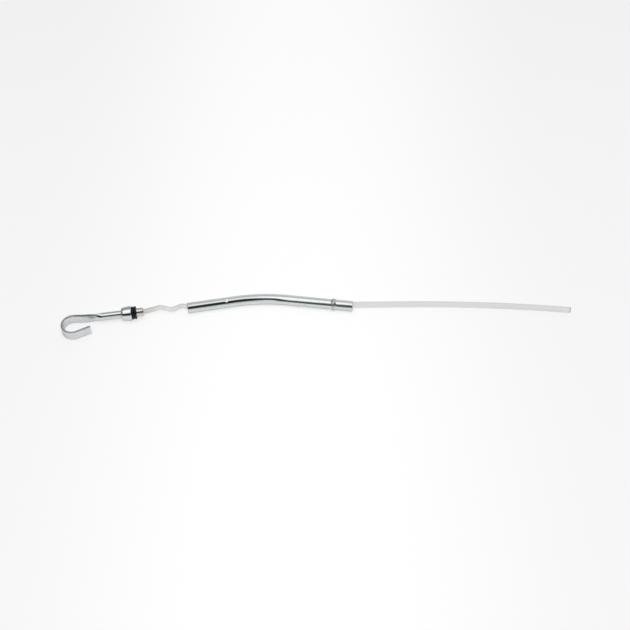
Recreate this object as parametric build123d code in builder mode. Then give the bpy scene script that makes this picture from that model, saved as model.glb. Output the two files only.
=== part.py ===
from build123d import *
import os
from math import asin, atan2, cos, degrees, pi, radians, sin, sqrt, tan

# Engine oil dipstick threaded through its guide tube, lying as it comes to rest on a table.
# The origin is on the tube's axis at the seat face of its bead, +X runs out of the spigot, +Z is up.
# The tube's bend lies flat, and the stick is cut into flat lengths that each have a plane of their own.

# Guide tube: a bent steel tube with one rolled bead that stops it in the engine block
tube_od = 9.525
tube_wall = 0.51
upper_leg = 67.0
lower_leg = 68.0
spigot_length = 15.0
bend_angle = 17.75
bend_radius = 150.0
bead_width = 4.4
bead_height = 0.65
tube_edge_share = 0.4

# Blade: a flat spring steel strip that stands on edge in the tube
blade_edge_room = 1.25
blade_thickness = 0.8
blade_clearance = 0.15
blade_bend_radius = 170.0
blade_inside_mouth = 4.0
bend_lead = 11.2
bend_share = 0.6
cross_back = 21.0
cross_share = 0.85
cross_ease = 14.5
mouth_rise = 0.5
bend_rise = 0.3
exit_rise = 0.1

# Free end of the blade, past the spigot: it leans back, and curls a little towards its tip
free_length = 196.4
free_straight = 45.0
free_curl = 8.5
free_lean = 13.0
tip_radius = 1.5
mark_count = 2
mark_from_tip = 22.0
mark_spacing = 22.0
mark_width = 0.8
mark_depth = 0.2

# Wave crimps above the mouth, which grip the tube and stop the stick rattling
crimp_start = 15.3
crimp_end = 4.5
crimp_lead = 1.1
crimp_pitch = 9.6
crimp_offsets = (2.65, -1.95, 1.47)
crimp_radius = 5.0

# Ferrule and its two O-rings
ferrule_play = 0.35
ferrule_length = 6.4
ferrule_round = 1.4
tang_depth = 6.0
slot_clearance = 0.05
ring_section = 2.25
ring_seat_step = 0.25
ring_clearance = 0.03
shank_depth = 9.0

# Cap
cap_od = 13.5
cap_top_od = 11.5
cap_length = 9.2
cap_land = 0.05
cap_rim_round = 0.5
cap_socket = 5.0
fit_clearance = 0.03

# Handle: a tube pressed flat and curled into a hook, which stands on its edge
handle_od = 7.1
handle_wall = 1.0
handle_turn = 2.3
handle_round = 16.5
flatten_length = 15.0
flat_thickness = 2.0
hook_set = 8.6
hook_set_radius = 20.0
hook_neck = 7.0
hook_radius = 9.65
hook_turn = 207.4
hook_tail = 13.1
hook_edge = 0.6

# Sizes that follow
bore_radius = tube_od / 2 - tube_wall
bead_radius = tube_od / 2 + bead_height
floor = -bead_radius
tube_edge = tube_edge_share * tube_wall
blade_width = 2 * (bore_radius - blade_edge_room)
ferrule_radius = bore_radius - ferrule_play
ring_seat = ferrule_radius - ring_seat_step
ring_zone = 2 * ring_section + 3 * ring_clearance
ferrule_end = ring_zone + ferrule_length
crimps = [(crimp_start + i * crimp_pitch, offset) for i, offset in enumerate(crimp_offsets)]
seat_to_mouth = ferrule_end + crimps[-1][0] + crimp_end
handle_bore = handle_od / 2 - handle_wall
socket_radius = handle_od / 2 + fit_clearance
flat_area = pi * ((handle_od / 2) ** 2 - handle_bore**2)
flat_width = flat_area / flat_thickness + flat_thickness * (1 - pi / 4)


def side_room(lean, rise):
    """How far a leaning strip at a height in the bore can move across before its edge nears the wall."""
    edge_height = rise + blade_width / 2 * cos(radians(lean)) - blade_thickness / 2 * sin(radians(lean))
    edge_reach = blade_width / 2 * sin(radians(lean)) + blade_thickness / 2 * cos(radians(lean))
    return sqrt((bore_radius - blade_clearance) ** 2 - edge_height**2) - edge_reach


mouth_room = side_room(0, mouth_rise)
exit_room = side_room(free_lean, exit_rise)

# Corners of the tube's centre line and of the blade's path inside it, seen from above
along_upper = Vector(cos(radians(bend_angle)), sin(radians(bend_angle)))
across_upper = Vector(-along_upper.Y, along_upper.X)
tube_corner = Vector(-lower_leg, 0)
tube_mouth = tube_corner - along_upper * upper_leg
blade_entry = tube_mouth + across_upper * mouth_room
blade_bend = tube_corner - along_upper * bend_lead + across_upper * (bend_share * mouth_room)
blade_cross = Vector(spigot_length - cross_back, -cross_share * exit_room)
blade_exit = Vector(spigot_length, exit_room)
along_stick = (blade_bend - blade_entry).normalized()
along_lower = (blade_cross - blade_bend).normalized()
along_free = (blade_exit - blade_cross).normalized()
stick_heading = degrees(atan2(along_stick.Y, along_stick.X))
free_heading = degrees(atan2(along_free.Y, along_free.X))

# Stick plane: x along the axis of handle, cap and ferrule, z across the flat of the hook.
# The cap's rim and the lower edge of the hook both rest on the table, which sets its pitch.
cap_height = floor + cap_od / 2
flat_start = -(cap_length + handle_round + flatten_length)
hook_centre = flat_start - (hook_set_radius + hook_radius) * sin(radians(hook_set))
hook_centre -= hook_neck * cos(radians(hook_set))
hook_reach = hook_radius + flat_thickness / 2 - hook_centre
stick_pitch = -degrees(asin((cap_od - flat_width) / 2 / hook_reach))
stick = Plane(blade_entry - along_stick * seat_to_mouth + Vector(0, 0, cap_height))
stick = stick.rotated((stick_heading - handle_turn, stick_pitch, 0), Intrinsic.ZYX)
stick_line = Axis(stick.origin, stick.x_dir)
stick_side = Plane(origin=stick.origin, x_dir=stick.x_dir, z_dir=-stick.y_dir)

# Planes of the blade: upright from the ferrule to the mouth, level in the bend, leaning at the free end,
# whose pitch brings the lowest place of its curl to the table
strip_start = stick.from_local_coords((ferrule_end, 0, 0))
strip_run = blade_entry + Vector(0, 0, mouth_rise) - strip_start
strip_heading = degrees(atan2(strip_run.Y, strip_run.X))
strip_pitch = -degrees(asin(strip_run.Z / strip_run.length))
strip = Plane(strip_start).rotated((strip_heading, strip_pitch, 0), Intrinsic.ZYX)
level = Plane.XY.offset(bend_rise)
free_lead = (blade_exit - blade_cross).length - cross_ease
free_reach = free_lead + free_length
free_radius = (free_length - free_straight) / radians(free_curl)
free_rise = sin(radians(free_lean))
free_drop = exit_rise - floor - (blade_width * cos(radians(free_lean)) + blade_thickness * free_rise) / 2
free_dip = sqrt(free_straight**2 + 2 * free_radius * free_drop / free_rise) - free_straight
free_pitch = degrees(free_dip * free_rise / free_radius)
free = Plane(blade_exit + Vector(0, 0, exit_rise))
free = free.rotated((free_heading, free_pitch, -free_lean), Intrinsic.ZYX)


def across_stick(place, plane=stick):
    """Plane square to the stick's axis, with x across the thickness and y across the width of a flat."""
    return Plane(origin=plane.from_local_coords((place, 0, 0)), x_dir=plane.y_dir, z_dir=plane.x_dir)


def across_strip(plane, path, end):
    """Plane square to a strip's path at its start (0) or end (1), with x across the strip."""
    return Plane(origin=path @ end, x_dir=plane.z_dir, z_dir=path % end)


# Guide tube: the wall follows the bent centre line, and the bead is rolled out of the wall
with BuildPart() as guide_tube:
    with BuildLine():
        FilletPolyline(tube_mouth, tube_corner, Vector(spigot_length, 0), radius=bend_radius)
    with BuildSketch(Plane(origin=tube_mouth, x_dir=across_upper, z_dir=along_upper)):
        Circle(tube_od / 2)
        Circle(bore_radius, mode=Mode.SUBTRACT)
    sweep()
    rims = guide_tube.faces().filter_by(GeomType.PLANE)
    fillet(rims.edges(), tube_edge)
    with BuildSketch(Plane.XZ):
        with BuildLine():
            crest = ThreePointArc(
                (-bead_width, tube_od / 2), (-bead_width / 2, bead_radius), (0, tube_od / 2)
            )
            Polyline(crest @ 1, (0, bore_radius), (-bead_width, bore_radius), crest @ 0)
        make_face()
    revolve(axis=Axis.X)
    with BuildSketch(Plane.XZ):
        with BuildLine():
            hollow = ThreePointArc(
                (-bead_width + tube_wall, bore_radius),
                (-bead_width / 2, bead_radius - tube_wall),
                (-tube_wall, bore_radius),
            )
            Polyline(hollow @ 1, (-tube_wall, 0), (-bead_width + tube_wall, 0), hollow @ 0)
        make_face()
    revolve(axis=Axis.X, mode=Mode.SUBTRACT)
guide_tube.part.label = "guide_tube"

# Handle: round end with a bore for the ferrule's shank, then flattened and curled
with BuildPart() as handle:
    with BuildSketch(across_stick(-cap_length + cap_socket)):
        Circle(handle_od / 2)
    extrude(amount=-(cap_socket + handle_round))
    with BuildSketch(across_stick(-(cap_length + handle_round))):
        Circle(handle_od / 2)
    with BuildSketch(across_stick(flat_start)):
        SlotOverall(flat_width, flat_thickness, rotation=90)
    loft()
    with BuildLine(stick):
        lead = JernArc((flat_start, 0), (-1, 0), hook_set_radius, -hook_set)
        neck = Line(lead @ 1, lead @ 1 + (lead % 1) * hook_neck)
        eye = JernArc(neck @ 1, neck % 1, hook_radius, hook_turn)
        Line(eye @ 1, eye @ 1 + (eye % 1) * hook_tail)
    tail_end = eye @ 1 + (eye % 1) * hook_tail
    with BuildSketch(across_stick(flat_start)):
        SlotOverall(flat_width, flat_thickness, rotation=90)
    sweep()
    cut_end = handle.faces().sort_by_distance(tail_end)[0]
    fillet(cut_end.edges(), hook_edge)
    with BuildSketch(across_stick(-cap_length + cap_socket)):
        Circle(handle_bore)
    extrude(amount=-(cap_socket + handle_round), mode=Mode.SUBTRACT)
handle.part.label = "handle"

# Cap: a turned body with a rounded shoulder, a socket for the handle and a bore for the shank
with BuildPart() as cap:
    with BuildSketch(stick_side):
        with BuildLine():
            Polyline(
                (-cap_length, socket_radius),
                (-cap_length, cap_top_od / 2),
                (0, cap_od / 2),
                (0, handle_bore),
                (-cap_length + cap_socket, handle_bore),
                (-cap_length + cap_socket, socket_radius),
                close=True,
            )
        make_face()
        shoulder = vertices().group_by(Axis.X)[0].sort_by(Axis.Y)[-1]
        fillet(shoulder, cap_top_od / 2 - socket_radius - cap_land)
        rim = vertices().group_by(Axis.X)[-1].sort_by(Axis.Y)[-1]
        fillet(rim, cap_rim_round)
    revolve(axis=stick_line)
cap.part.label = "cap"

# Ferrule: a turned stub with a seat for the O-rings, and a slot for the blade's tang
with BuildPart() as ferrule:
    with BuildSketch(stick_side):
        with BuildLine():
            Polyline(
                (-shank_depth - cap_length + cap_socket, 0),
                (-shank_depth - cap_length + cap_socket, handle_bore - fit_clearance),
                (0, handle_bore - fit_clearance),
                (0, ring_seat),
                (ring_zone, ring_seat),
                (ring_zone, ferrule_radius),
                (ferrule_end, ferrule_radius),
                (ferrule_end, 0),
                close=True,
            )
        make_face()
        nose = vertices().group_by(Axis.X)[-1].sort_by(Axis.Y)[-1]
        fillet(nose, ferrule_round)
    revolve(axis=stick_line)
    with BuildSketch(across_stick(ferrule_round, strip)):
        Rectangle(blade_thickness + 2 * slot_clearance, blade_width + 2 * slot_clearance)
    extrude(amount=-(ferrule_round + tang_depth + slot_clearance), mode=Mode.SUBTRACT)
ferrule.part.label = "ferrule"


def o_ring(place):
    """One O-ring on the ferrule's seat, its middle at a place along the stick."""
    with BuildPart() as ring:
        with BuildSketch(stick_side):
            with Locations((place, ring_seat + ring_clearance + ring_section / 2)):
                Circle(ring_section / 2)
        revolve(axis=stick_line)
    return ring


o_ring_upper = o_ring(ring_clearance + ring_section / 2)
o_ring_upper.part.label = "o_ring_upper"
o_ring_lower = o_ring(2 * ring_clearance + ring_section * 3 / 2)
o_ring_lower.part.label = "o_ring_lower"

# Blade: crimped length up to the mouth, bent length in the tube, free length, and twisted lengths between
with BuildPart() as blade:
    with BuildLine(strip) as crimped:
        FilletPolyline(
            (-tang_depth, 0),
            (crimp_lead, 0),
            *crimps,
            (strip_run.length - crimp_lead, 0),
            (strip_run.length + blade_inside_mouth, 0),
            radius=crimp_radius,
        )
    with BuildSketch(across_strip(strip, crimped.line, 0)):
        Rectangle(blade_width, blade_thickness)
    sweep()

    turn = radians(along_stick.get_angle(along_lower))
    bend_tangent = blade_bend_radius * tan(turn / 2) + blade_thickness
    with BuildLine(level) as bent:
        FilletPolyline(
            tuple(blade_bend - along_stick * bend_tangent),
            tuple(blade_bend),
            tuple(blade_cross - along_lower * cross_ease),
            radius=blade_bend_radius,
        )
    with BuildSketch(across_strip(level, bent.line, 0)):
        Rectangle(blade_width, blade_thickness)
    sweep()

    with BuildLine(free) as tip:
        straight = Line((-free_lead, 0), (free_straight, 0))
        JernArc(straight @ 1, straight % 1, free_radius, -free_curl)
    with BuildSketch(across_strip(free, tip.line, 0)):
        Rectangle(blade_width, blade_thickness)
    sweep()

    for plane_a, path_a, plane_b, path_b in (
        (strip, crimped.line, level, bent.line),
        (level, bent.line, free, tip.line),
    ):
        with BuildSketch(across_strip(plane_a, path_a, 1)):
            Rectangle(blade_width, blade_thickness)
        with BuildSketch(across_strip(plane_b, path_b, 0)):
            Rectangle(blade_width, blade_thickness)
        loft()

    tip_edges = blade.faces().sort_by(Axis.X)[-1].edges().sort_by(SortBy.LENGTH)[:2]
    fillet(tip_edges, tip_radius)

    for step in range(mark_count):
        place = 1 - (mark_from_tip + step * mark_spacing) / free_reach
        back = free.z_dir.cross(tip.line % place)
        with BuildSketch(Plane(tip.line @ place + back * blade_thickness / 2, tip.line % place, back)):
            Rectangle(mark_width, 2 * blade_width)
        extrude(amount=-mark_depth, mode=Mode.SUBTRACT)
blade.part.label = "blade"

os.makedirs("parts", exist_ok=True)
export_step(guide_tube.part, "parts/guide_tube.step")
export_step(handle.part, "parts/handle.step")
export_step(cap.part, "parts/cap.step")
export_step(ferrule.part, "parts/ferrule.step")
export_step(o_ring_upper.part, "parts/o_ring_upper.step")
export_step(o_ring_lower.part, "parts/o_ring_lower.step")
export_step(blade.part, "parts/blade.step")
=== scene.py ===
"""Studio view of an engine oil dipstick, threaded through its guide tube, on a pale floor."""
import math

import bpy
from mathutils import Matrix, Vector


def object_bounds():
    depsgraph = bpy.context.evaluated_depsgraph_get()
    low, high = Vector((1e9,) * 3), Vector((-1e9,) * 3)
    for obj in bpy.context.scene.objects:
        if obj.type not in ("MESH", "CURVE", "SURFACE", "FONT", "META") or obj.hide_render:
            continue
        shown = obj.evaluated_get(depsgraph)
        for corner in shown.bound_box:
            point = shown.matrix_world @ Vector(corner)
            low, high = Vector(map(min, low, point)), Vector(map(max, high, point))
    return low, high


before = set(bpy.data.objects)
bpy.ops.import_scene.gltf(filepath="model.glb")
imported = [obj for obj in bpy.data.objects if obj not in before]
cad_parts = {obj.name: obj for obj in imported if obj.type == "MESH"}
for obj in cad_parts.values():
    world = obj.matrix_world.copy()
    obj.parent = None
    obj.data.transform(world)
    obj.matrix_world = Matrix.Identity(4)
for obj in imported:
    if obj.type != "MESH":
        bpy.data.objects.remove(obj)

cad_low, cad_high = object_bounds()
FLOOR_Z = cad_low[2]
ORIGIN = Vector((0.0, 0.0, 0.0))
ALONG_X = Vector((1.0, 0.0, 0.0))
ALONG_Y = Vector((0.0, 1.0, 0.0))
UP = Vector((0.0, 0.0, 1.0))
WHITE = (1.0, 1.0, 1.0, 1.0)

# Camera: elevation, turn from the frame's own axes, distance, field and aim of the photograph's view
VIEW_ELEVATION = math.radians(50.0)
VIEW_TURN = math.radians(7.09)
VIEW_DISTANCE = 1.137
VIEW_HALF_FIELD = math.radians(14.0)
VIEW_AIM = (-0.01784, -0.00981)
SENSOR_WIDTH = 36.0
VIEW_RIGHT = Vector((math.cos(VIEW_TURN), math.sin(VIEW_TURN), 0.0))
VIEW_FRONT = Vector((math.sin(VIEW_TURN), -math.cos(VIEW_TURN), 0.0))

# Floor: its paint, and what is left of that paint for the camera
FLOOR_SIZE = 6.0
FLOOR_PAINT = 0.85
FLOOR_SEEN = 0.23
# Glow of the floor for the camera, which fades to the sides and is white far away, and for mirrors
GLOW_MIDDLE = 0.765
GLOW_SIDES = 0.69
GLOW_CENTER = -0.034
GLOW_FADE = (0.02, 0.26)
GLOW_FAR = (0.6, 1.6)
GLOW_MIRRORED = 0.1

# Light tent: brightness by angle from the front horizon (0) over the top (90) to the back horizon (180)
TENT_LEVELS = (
    (0.0, 0.75),
    (14.0, 0.85),
    (60.0, 1.1),
    (72.0, 1.4),
    (104.0, 1.4),
    (116.0, 0.66),
    (150.0, 0.7),
    (180.0, 0.95),
)
HALF_TURN = 180.0
# Its two darker ends: brightness at the left and at the right, and how far to the side they start
END_LEVELS = (0.3, 0.6)
END_SIDES = (-0.2, 0.2)
END_START = (0.36, 0.46)
# Its shades, at the back on the left and at the top on the right: share, angles and sides
SHADES = (
    (0.35, (106.0, 116.0), (-0.1, -0.22)),
    (0.2, (112.0, 100.0), (-0.035, 0.0)),
)
# Its dark opening round the camera: the angle of its middle and half its height, at the left and at the right
OPENING_MIDDLE = (30.0, 52.0)
OPENING_MIDDLE_SIDE = (-0.19, -0.07)
OPENING_HALF = (20.0, 29.0)
OPENING_HALF_SIDE = (-0.02, 0.12)
OPENING_SOFT = 5.0
OPENING_LEVEL = 0.035

# Soft box above the part, towards the front, which mirrors don't show
LAMP_ELEVATION = math.radians(74.0)
LAMP_DISTANCE = 1.3
LAMP_SIZE = 0.8
LAMP_POWER = 10.5

# Chrome: its colour when clean, under finger marks and at turned-away edges, and its scratches and waves
CHROME_CLEAN = (0.68, 0.7, 0.71, 1.0)
CHROME_MARKED = (0.64, 0.66, 0.67, 1.0)
CHROME_EDGE = (0.68, 0.69, 0.7, 1.0)
CHROME_ROUGHNESS = 0.025
MARK_SCALE = 160.0
MARK_RANGE = (0.45, 0.75)
MARK_ROUGHNESS = 0.05
SCRATCH_SCALE = 900.0
SCRATCH_STRETCH = (0.06, 0.5, 1.0)
SCRATCH_ROUGHNESS = 0.04
SCRATCH_DEPTH = 0.000001
WAVE_SCALE = 70.0
WAVE_DEPTH = 0.00002

# Handle: the direction of the stick, the duller pressed length, and the rounded, dull edges of the hook,
# which also carry a painted dark reflection that is darkest near one place on its curl
STICK_ALONG = Vector((0.967, 0.255, 0.0))
PRESS_START = (-0.213, -0.217)
PRESS_END = (-0.231, -0.225)
PRESS_ROUGHNESS = 0.32
EDGE_ROUND = 0.002
EDGE_SAMPLES = 8
EDGE_FACING = (0.4, 0.8)
EDGE_FADE = (-0.212, -0.221)
# Painted dark reflection on the hook's edges: the place where it is darkest, how far it fades from there, and
# its dark and grey colours
EDGE_PAINT_DARKEST = Vector((-0.218, -0.043, 0.003))
EDGE_PAINT_REACH = (0.007, 0.016)
EDGE_PAINTED_DARK = (0.2, 0.21, 0.215, 1.0)
EDGE_PAINTED_GREY = (0.54, 0.55, 0.555, 1.0)
EDGE_ROUGHNESS = 0.35

# Guide tube: the corner and bend of its legs, and the bare steel of its bore
TUBE_CORNER = Vector((-0.068, 0.0, 0.0))
TUBE_BEND = math.radians(17.75)
UPPER_ACROSS = Vector((-math.sin(TUBE_BEND), math.cos(TUBE_BEND), 0.0))
BORE_LIMIT = -0.001
BORE_STEEL = (0.28, 0.27, 0.26, 1.0)
BORE_ROUGHNESS = 0.45
# Its bead's crest, rougher and with a painted darker grey that dims its highlight, from the bead's back edge
# on, at a distance from the axis of the lower leg
BEAD_BACK = -0.006
BEAD_CREST = (0.005, 0.0053)
BEAD_PAINTED_GREY = (0.53, 0.54, 0.55, 1.0)
BEAD_ROUGHNESS = 0.3
# The slight haze on its lower leg, and one small dent in its upper leg
HAZE_START = (-0.062, -0.04)
HAZE_METALLIC = 0.9
DENT_PLACE = Vector((-0.09795, -0.01133, 0.00446))
DENT_RADIUS = 0.0017
DENT_DEPTH = 0.0003

# Ferrule: warm steel, the pitch of its tool rings and how far they wander, and a film on it
FERRULE_WARM = (0.58, 0.535, 0.5, 1.0)
FERRULE_PALE = (0.68, 0.645, 0.62, 1.0)
FERRULE_ROUGHNESS = 0.1
RING_PITCH = 0.00045
RING_WANDER = 3.0
RING_WANDER_SCALE = 500.0
RING_ROUGHNESS = 0.05
RING_DEPTH = 0.000004
FILM_SCALE = 350.0
FILM_ROUGHNESS = 0.08

# Blade: its exit from the tube and its slope past that, and the rolled lines and clouds of its satin
BLADE_EXIT_X = 0.015
FREE_SLOPE = 0.0248
BLADE_DARK = (0.76, 0.76, 0.75, 1.0)
BLADE_PALE = (0.85, 0.85, 0.84, 1.0)
BLADE_ROUGHNESS = 0.28
LINE_STRETCH = (35.0, 35.0, 5200.0)
LINE_ROUGHNESS = 0.12
LINE_DEPTH = 0.000004
CLOUD_SCALE = 90.0
CLOUD_ROUGHNESS = 0.12
# Its painted shade near the ferrule, darker and yellower, and the painted dark reflection at its tip: where
# along X, share and colour
BLADE_SHADE_SPAN = (-0.15, -0.17)
BLADE_SHADE_SHARE = 0.7
BLADE_PAINTED_SHADE = (0.6, 0.605, 0.56, 1.0)
TIP_PAINT_SPAN = (0.2084, 0.21)
TIP_PAINT_SHARE = 0.6
TIP_PAINTED_DARK = (0.3, 0.3, 0.29, 1.0)

# Rubber: its colour without and with bloom, and its fine grain
RUBBER_DARK = (0.005, 0.007, 0.008, 1.0)
RUBBER_PALE = (0.009, 0.011, 0.012, 1.0)
RUBBER_ROUGHNESS = 0.22
RUBBER_SHINE = 0.3
BLOOM_SCALE = 700.0
BLOOM_ROUGHNESS = 0.15
RUBBER_GRAIN_SCALE = 3000.0
RUBBER_GRAIN_DEPTH = 0.000003


def node(tree, kind, inputs=None, **settings):
    """Adds a shader node, with its settings and with its inputs set to values or linked to sockets."""
    made = tree.nodes.new(kind)
    for name, value in settings.items():
        setattr(made, name, value)
    for name, value in (inputs or {}).items():
        if isinstance(value, bpy.types.NodeSocket):
            tree.links.new(value, made.inputs[name])
        else:
            made.inputs[name].default_value = value
    return made


def math_node(tree, operation, *values):
    """A math node's result, from values or sockets."""
    return node(tree, "ShaderNodeMath", dict(enumerate(values)), operation=operation).outputs[0]


def product(tree, first, second):
    """One number times another."""
    return math_node(tree, "MULTIPLY", first, second)


def scaled(tree, socket, factor, base):
    """A socket's value times a factor, on top of a base."""
    return math_node(tree, "MULTIPLY_ADD", socket, factor, base)


def apart(tree, first, second):
    """How far apart two numbers are."""
    return math_node(tree, "ABSOLUTE", math_node(tree, "SUBTRACT", first, second))


def vector_node(tree, operation, socket, other):
    """A vector math node of a socket and a fixed vector."""
    return node(tree, "ShaderNodeVectorMath", {0: socket, 1: other}, operation=operation).outputs


def dot(tree, socket, direction):
    """The length of a vector socket along a fixed direction."""
    return vector_node(tree, "DOT_PRODUCT", socket, direction)["Value"]


def distance(tree, socket, place):
    """The distance of a vector socket from a fixed place."""
    return vector_node(tree, "DISTANCE", socket, place)["Value"]


def step(tree, socket, start, end, low=0.0, high=1.0):
    """A smooth step of a socket's value from one range to another."""
    inputs = {"Value": socket, "From Min": start, "From Max": end, "To Min": low, "To Max": high}
    return node(tree, "ShaderNodeMapRange", inputs, interpolation_type="SMOOTHSTEP").outputs["Result"]


def blend(tree, share, low, high):
    """A mix of two numbers, from values or sockets."""
    return node(tree, "ShaderNodeMix", {0: share, 2: low, 3: high}, data_type="FLOAT").outputs[0]


def tint(tree, share, low, high):
    """A mix of two colours, from values or sockets."""
    return node(tree, "ShaderNodeMix", {0: share, 6: low, 7: high}, data_type="RGBA").outputs[2]


def grain(tree, place, scale, detail=2.0, stretch=None):
    """Noise from 0 to 1 at a scale in grains a metre, stretched along the frame's axes."""
    if stretch:
        place = vector_node(tree, "MULTIPLY", place, stretch)["Vector"]
    inputs = {"Vector": place, "Scale": scale, "Detail": detail}
    return node(tree, "ShaderNodeTexNoise", inputs).outputs["Fac"]


def bump(tree, height, depth, under=None):
    """A surface normal for a height from 0 to 1 over a depth in metres."""
    inputs = {"Height": height, "Distance": depth}
    if under:
        inputs["Normal"] = under
    return node(tree, "ShaderNodeBump", inputs).outputs["Normal"]


def new_material(name):
    """An empty material, its node tree, and the place on the part as its shader sees it."""
    material = bpy.data.materials.new(name)
    material.use_nodes = True
    tree = material.node_tree
    tree.nodes.clear()
    return material, tree, node(tree, "ShaderNodeTexCoord").outputs["Object"]


def finish_material(tree, shader):
    """Links a shader to its material's output."""
    output = node(tree, "ShaderNodeOutputMaterial")
    tree.links.new(shader.outputs[0], output.inputs[0])


def tent_ramp(tree, angle):
    """The tent's brightness by the angle from the front horizon."""
    ramp = node(tree, "ShaderNodeValToRGB", {"Fac": math_node(tree, "DIVIDE", angle, HALF_TURN)})
    stops = ramp.color_ramp.elements
    while len(stops) < len(TENT_LEVELS):
        stops.new(0.5)
    for stop, (place, level) in zip(stops, TENT_LEVELS):
        stop.position = place / HALF_TURN
        stop.color = (level, level, level, 1.0)
    return ramp.outputs["Color"]


def make_world():
    """A white light tent with a dark opening round the camera, and a white backdrop."""
    world = bpy.data.worlds.new("light_tent")
    bpy.context.scene.world = world
    world.use_nodes = True
    tree = world.node_tree
    tree.nodes.clear()
    ray = node(tree, "ShaderNodeTexCoord").outputs["Generated"]
    side = dot(tree, ray, VIEW_RIGHT)
    turn = math_node(tree, "ARCTAN2", dot(tree, ray, UP), dot(tree, ray, VIEW_FRONT))
    angle = math_node(tree, "DEGREES", turn)
    ends = step(tree, math_node(tree, "ABSOLUTE", side), *END_START)
    end = step(tree, side, *END_SIDES, *END_LEVELS)
    cloth = blend(tree, ends, tent_ramp(tree, angle), end)
    for depth, angles, sides in SHADES:
        shade = product(tree, step(tree, angle, *angles), step(tree, side, *sides))
        cloth = product(tree, cloth, scaled(tree, shade, -depth, 1.0))

    middle = step(tree, side, *OPENING_MIDDLE_SIDE, *OPENING_MIDDLE)
    half = step(tree, side, *OPENING_HALF_SIDE, *OPENING_HALF)
    outside = math_node(tree, "SUBTRACT", apart(tree, angle, middle), half)
    opening = step(tree, outside, OPENING_SOFT, -OPENING_SOFT)
    tent = blend(tree, opening, cloth, OPENING_LEVEL)

    path = node(tree, "ShaderNodeLightPath").outputs
    seen = blend(tree, path["Is Camera Ray"], tent, 1.0)
    back = node(tree, "ShaderNodeBackground", {"Color": WHITE, "Strength": seen})
    output = node(tree, "ShaderNodeOutputWorld")
    tree.links.new(back.outputs[0], output.inputs[0])


def make_floor():
    """A pale floor that keeps the object's shadow and glows for the camera and for mirrors."""
    bpy.ops.mesh.primitive_plane_add(size=FLOOR_SIZE, location=(0.0, 0.0, FLOOR_Z))
    floor = bpy.context.object
    floor.name = "floor"
    material, tree, place = new_material("floor_white")
    path = node(tree, "ShaderNodeLightPath").outputs
    pale = blend(tree, path["Is Camera Ray"], FLOOR_PAINT, FLOOR_SEEN)
    paint = node(tree, "ShaderNodeBsdfDiffuse", {"Color": pale})
    out = apart(tree, dot(tree, place, VIEW_RIGHT), GLOW_CENTER)
    glow = step(tree, out, *GLOW_FADE, low=GLOW_MIDDLE, high=GLOW_SIDES)
    far = step(tree, distance(tree, place, ORIGIN), *GLOW_FAR)
    glow = product(tree, path["Is Camera Ray"], blend(tree, far, glow, 1.0))
    mirrored = math_node(tree, "MAXIMUM", path["Is Glossy Ray"], path["Is Transmission Ray"])
    glow = scaled(tree, mirrored, GLOW_MIRRORED, glow)
    light = node(tree, "ShaderNodeEmission", {"Strength": glow})
    finish_material(tree, node(tree, "ShaderNodeAddShader", {0: paint.outputs[0], 1: light.outputs[0]}))
    floor.data.materials.append(material)


def placed(name, data, elevation, reach):
    """An object in front of the part, turned to its middle."""
    aim = Vector((VIEW_AIM[0], VIEW_AIM[1], FLOOR_Z))
    away = VIEW_FRONT * math.cos(elevation) + UP * math.sin(elevation)
    holder = bpy.data.objects.new(name, data)
    holder.location = aim + away * reach
    holder.rotation_euler = (-away).to_track_quat("-Z", "Y").to_euler()
    bpy.context.scene.collection.objects.link(holder)
    return holder


def make_lamp():
    """A soft box that lights the floor and the rubber."""
    lamp = bpy.data.lights.new("soft_box", "AREA")
    lamp.size = LAMP_SIZE
    lamp.energy = LAMP_POWER
    holder = placed("soft_box", lamp, LAMP_ELEVATION, LAMP_DISTANCE)
    holder.visible_camera = False
    holder.visible_glossy = False


def make_camera():
    """The photograph's viewpoint."""
    camera = bpy.data.cameras.new("view")
    camera.sensor_width = SENSOR_WIDTH
    camera.lens = SENSOR_WIDTH / 2 / math.tan(VIEW_HALF_FIELD)
    bpy.context.scene.camera = placed("view", camera, VIEW_ELEVATION, VIEW_DISTANCE)


def in_bore(tree, place):
    """1 inside the guide tube, where its surface faces the tube's own axis, 0 elsewhere."""
    axes = node(tree, "ShaderNodeSeparateXYZ", {0: place}).outputs
    facing = node(tree, "ShaderNodeNewGeometry").outputs["Normal"]
    from_corner = vector_node(tree, "SUBTRACT", place, TUBE_CORNER)["Vector"]
    upper = product(tree, dot(tree, from_corner, UPPER_ACROSS), dot(tree, facing, UPPER_ACROSS))
    lower = product(tree, axes["Y"], dot(tree, facing, ALONG_Y))
    on_lower = math_node(tree, "GREATER_THAN", axes["X"], TUBE_CORNER.x)
    outward = scaled(tree, axes["Z"], dot(tree, facing, UP), blend(tree, on_lower, upper, lower))
    return math_node(tree, "LESS_THAN", outward, BORE_LIMIT)


def dull_and_shade_hook(tree, place, rounded, look):
    """Dulls the pressed length of the handle and the edges of the hook more, and paints a dark reflection
    into the hook's edges.
    """
    along = dot(tree, place, STICK_ALONG)
    press = product(tree, step(tree, along, *PRESS_START), step(tree, along, *PRESS_END))
    roughness = blend(tree, press, look["Roughness"], PRESS_ROUGHNESS)
    upright = math_node(tree, "ABSOLUTE", dot(tree, rounded, UP))
    edge = product(tree, step(tree, upright, *EDGE_FACING), step(tree, along, *EDGE_FADE))
    # Painted dark reflection on the hook's edges, darkest near one place on the curl
    away = step(tree, distance(tree, place, EDGE_PAINT_DARKEST), *EDGE_PAINT_REACH)
    edge_paint = tint(tree, away, EDGE_PAINTED_DARK, EDGE_PAINTED_GREY)
    look["Base Color"] = tint(tree, edge, look["Base Color"], edge_paint)
    look["Roughness"] = blend(tree, edge, roughness, EDGE_ROUGHNESS)


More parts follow.
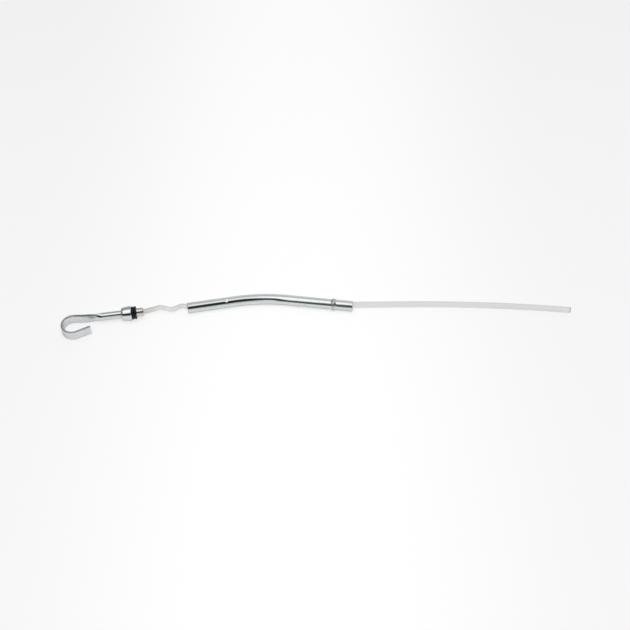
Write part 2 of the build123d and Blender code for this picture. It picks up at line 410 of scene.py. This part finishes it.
def wear_and_shade_tube(tree, place, look):
    """Adds the guide tube's bare bore, the haze of its lower leg, its bead's rougher crest with painted shade
    that dims its highlight, and its dent.
    """
    bore = in_bore(tree, place)
    color = tint(tree, bore, look["Base Color"], BORE_STEEL)
    roughness = blend(tree, bore, look["Roughness"], BORE_ROUGHNESS)
    along = dot(tree, place, ALONG_X)
    across = vector_node(tree, "MULTIPLY", place, ALONG_Y + UP)["Vector"]
    at_bead = math_node(tree, "GREATER_THAN", along, BEAD_BACK)
    crest = product(tree, step(tree, distance(tree, across, ORIGIN), *BEAD_CREST), at_bead)
    dent = step(tree, distance(tree, place, DENT_PLACE), 0.0, DENT_RADIUS)
    # Painted shade on the bead's crest, which dims its highlight
    look["Base Color"] = tint(tree, crest, color, BEAD_PAINTED_GREY)
    look["Metallic"] = step(tree, along, *HAZE_START, low=1.0, high=HAZE_METALLIC)
    look["Roughness"] = blend(tree, crest, roughness, BEAD_ROUGHNESS)
    look["Normal"] = bump(tree, dent, DENT_DEPTH, look["Normal"])


def chrome(name, tube=False, hook=False):
    """Polished plate with a slight waviness, finger marks and fine scratches."""
    material, tree, place = new_material(name)
    marks = step(tree, grain(tree, place, MARK_SCALE, 4.0), *MARK_RANGE)
    fine = grain(tree, place, SCRATCH_SCALE, 3.0, stretch=SCRATCH_STRETCH)
    roughness = scaled(tree, fine, SCRATCH_ROUGHNESS, CHROME_ROUGHNESS)
    look = {
        "Base Color": tint(tree, marks, CHROME_CLEAN, CHROME_MARKED),
        "Metallic": 1.0,
        "Roughness": scaled(tree, marks, MARK_ROUGHNESS, roughness),
        "Specular Tint": CHROME_EDGE,
    }
    rounded = None
    if hook:
        rounded = node(tree, "ShaderNodeBevel", {"Radius": EDGE_ROUND}, samples=EDGE_SAMPLES).outputs[0]
        dull_and_shade_hook(tree, place, rounded, look)
    waves = bump(tree, grain(tree, place, WAVE_SCALE, 1.0), WAVE_DEPTH, rounded)
    look["Normal"] = bump(tree, fine, SCRATCH_DEPTH, waves)
    if tube:
        wear_and_shade_tube(tree, place, look)
    finish_material(tree, node(tree, "ShaderNodeBsdfPrincipled", look))
    return material


def turned_steel():
    """Warm turned steel with fine tool rings round the stick's axis."""
    material, tree, place = new_material("ferrule_steel")
    turns = product(tree, dot(tree, place, STICK_ALONG), 2 * math.pi / RING_PITCH)
    wander = product(tree, grain(tree, place, RING_WANDER_SCALE), RING_WANDER)
    wave = math_node(tree, "SINE", math_node(tree, "ADD", turns, wander))
    rings = scaled(tree, wave, 0.5, 0.5)
    film = grain(tree, place, FILM_SCALE, 4.0)
    roughness = scaled(tree, film, FILM_ROUGHNESS, FERRULE_ROUGHNESS)
    look = {
        "Base Color": tint(tree, film, FERRULE_WARM, FERRULE_PALE),
        "Metallic": 1.0,
        "Roughness": scaled(tree, rings, RING_ROUGHNESS, roughness),
        "Normal": bump(tree, rings, RING_DEPTH),
    }
    finish_material(tree, node(tree, "ShaderNodeBsdfPrincipled", look))
    return material


def rolled_steel():
    """Satin strip with grain along its length, painted shade near the ferrule and a painted dark reflection
    at its tip.
    """
    material, tree, place = new_material("blade_steel")
    axes = node(tree, "ShaderNodeSeparateXYZ", {0: place}).outputs
    past = math_node(tree, "MAXIMUM", math_node(tree, "SUBTRACT", axes["X"], BLADE_EXIT_X), 0.0)
    level = scaled(tree, past, FREE_SLOPE, axes["Z"])
    strip = node(tree, "ShaderNodeCombineXYZ", {"X": axes["X"], "Y": axes["Y"], "Z": level}).outputs[0]
    lines = grain(tree, strip, 1.0, 3.0, stretch=LINE_STRETCH)
    cloud = grain(tree, place, CLOUD_SCALE, 4.0)
    # Painted shade near the ferrule, darker and yellower
    painted_shade = product(tree, step(tree, axes["X"], *BLADE_SHADE_SPAN), BLADE_SHADE_SHARE)
    # Painted dark reflection at the blade's tip
    end = product(tree, step(tree, axes["X"], *TIP_PAINT_SPAN), TIP_PAINT_SHARE)
    color = tint(tree, lines, BLADE_DARK, BLADE_PALE)
    color = tint(tree, painted_shade, color, BLADE_PAINTED_SHADE)
    roughness = scaled(tree, cloud, CLOUD_ROUGHNESS, BLADE_ROUGHNESS)
    look = {
        "Base Color": tint(tree, end, color, TIP_PAINTED_DARK),
        "Metallic": 1.0,
        "Roughness": scaled(tree, lines, LINE_ROUGHNESS, roughness),
        "Normal": bump(tree, lines, LINE_DEPTH),
    }
    finish_material(tree, node(tree, "ShaderNodeBsdfPrincipled", look))
    return material


def rubber():
    """Black moulded rubber with a fine, uneven bloom."""
    material, tree, place = new_material("seal_rubber")
    bloom = grain(tree, place, BLOOM_SCALE, 4.0)
    look = {
        "Base Color": tint(tree, bloom, RUBBER_DARK, RUBBER_PALE),
        "Roughness": scaled(tree, bloom, BLOOM_ROUGHNESS, RUBBER_ROUGHNESS),
        "Specular IOR Level": RUBBER_SHINE,
        "Normal": bump(tree, grain(tree, place, RUBBER_GRAIN_SCALE), RUBBER_GRAIN_DEPTH),
    }
    finish_material(tree, node(tree, "ShaderNodeBsdfPrincipled", look))
    return material


def dress(names, material):
    """Puts one material on the named nodes."""
    for name in names:
        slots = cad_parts[name].data.materials
        slots.clear()
        slots.append(material)


make_world()
make_floor()
make_lamp()
make_camera()
bpy.context.scene.view_settings.view_transform = "Standard"
dress(("handle",), chrome("chrome_handle", hook=True))
dress(("cap",), chrome("chrome_cap"))
dress(("guide_tube",), chrome("chrome_tube", tube=True))
dress(("ferrule",), turned_steel())
dress(("blade",), rolled_steel())
dress(("o_ring_upper", "o_ring_lower"), rubber())
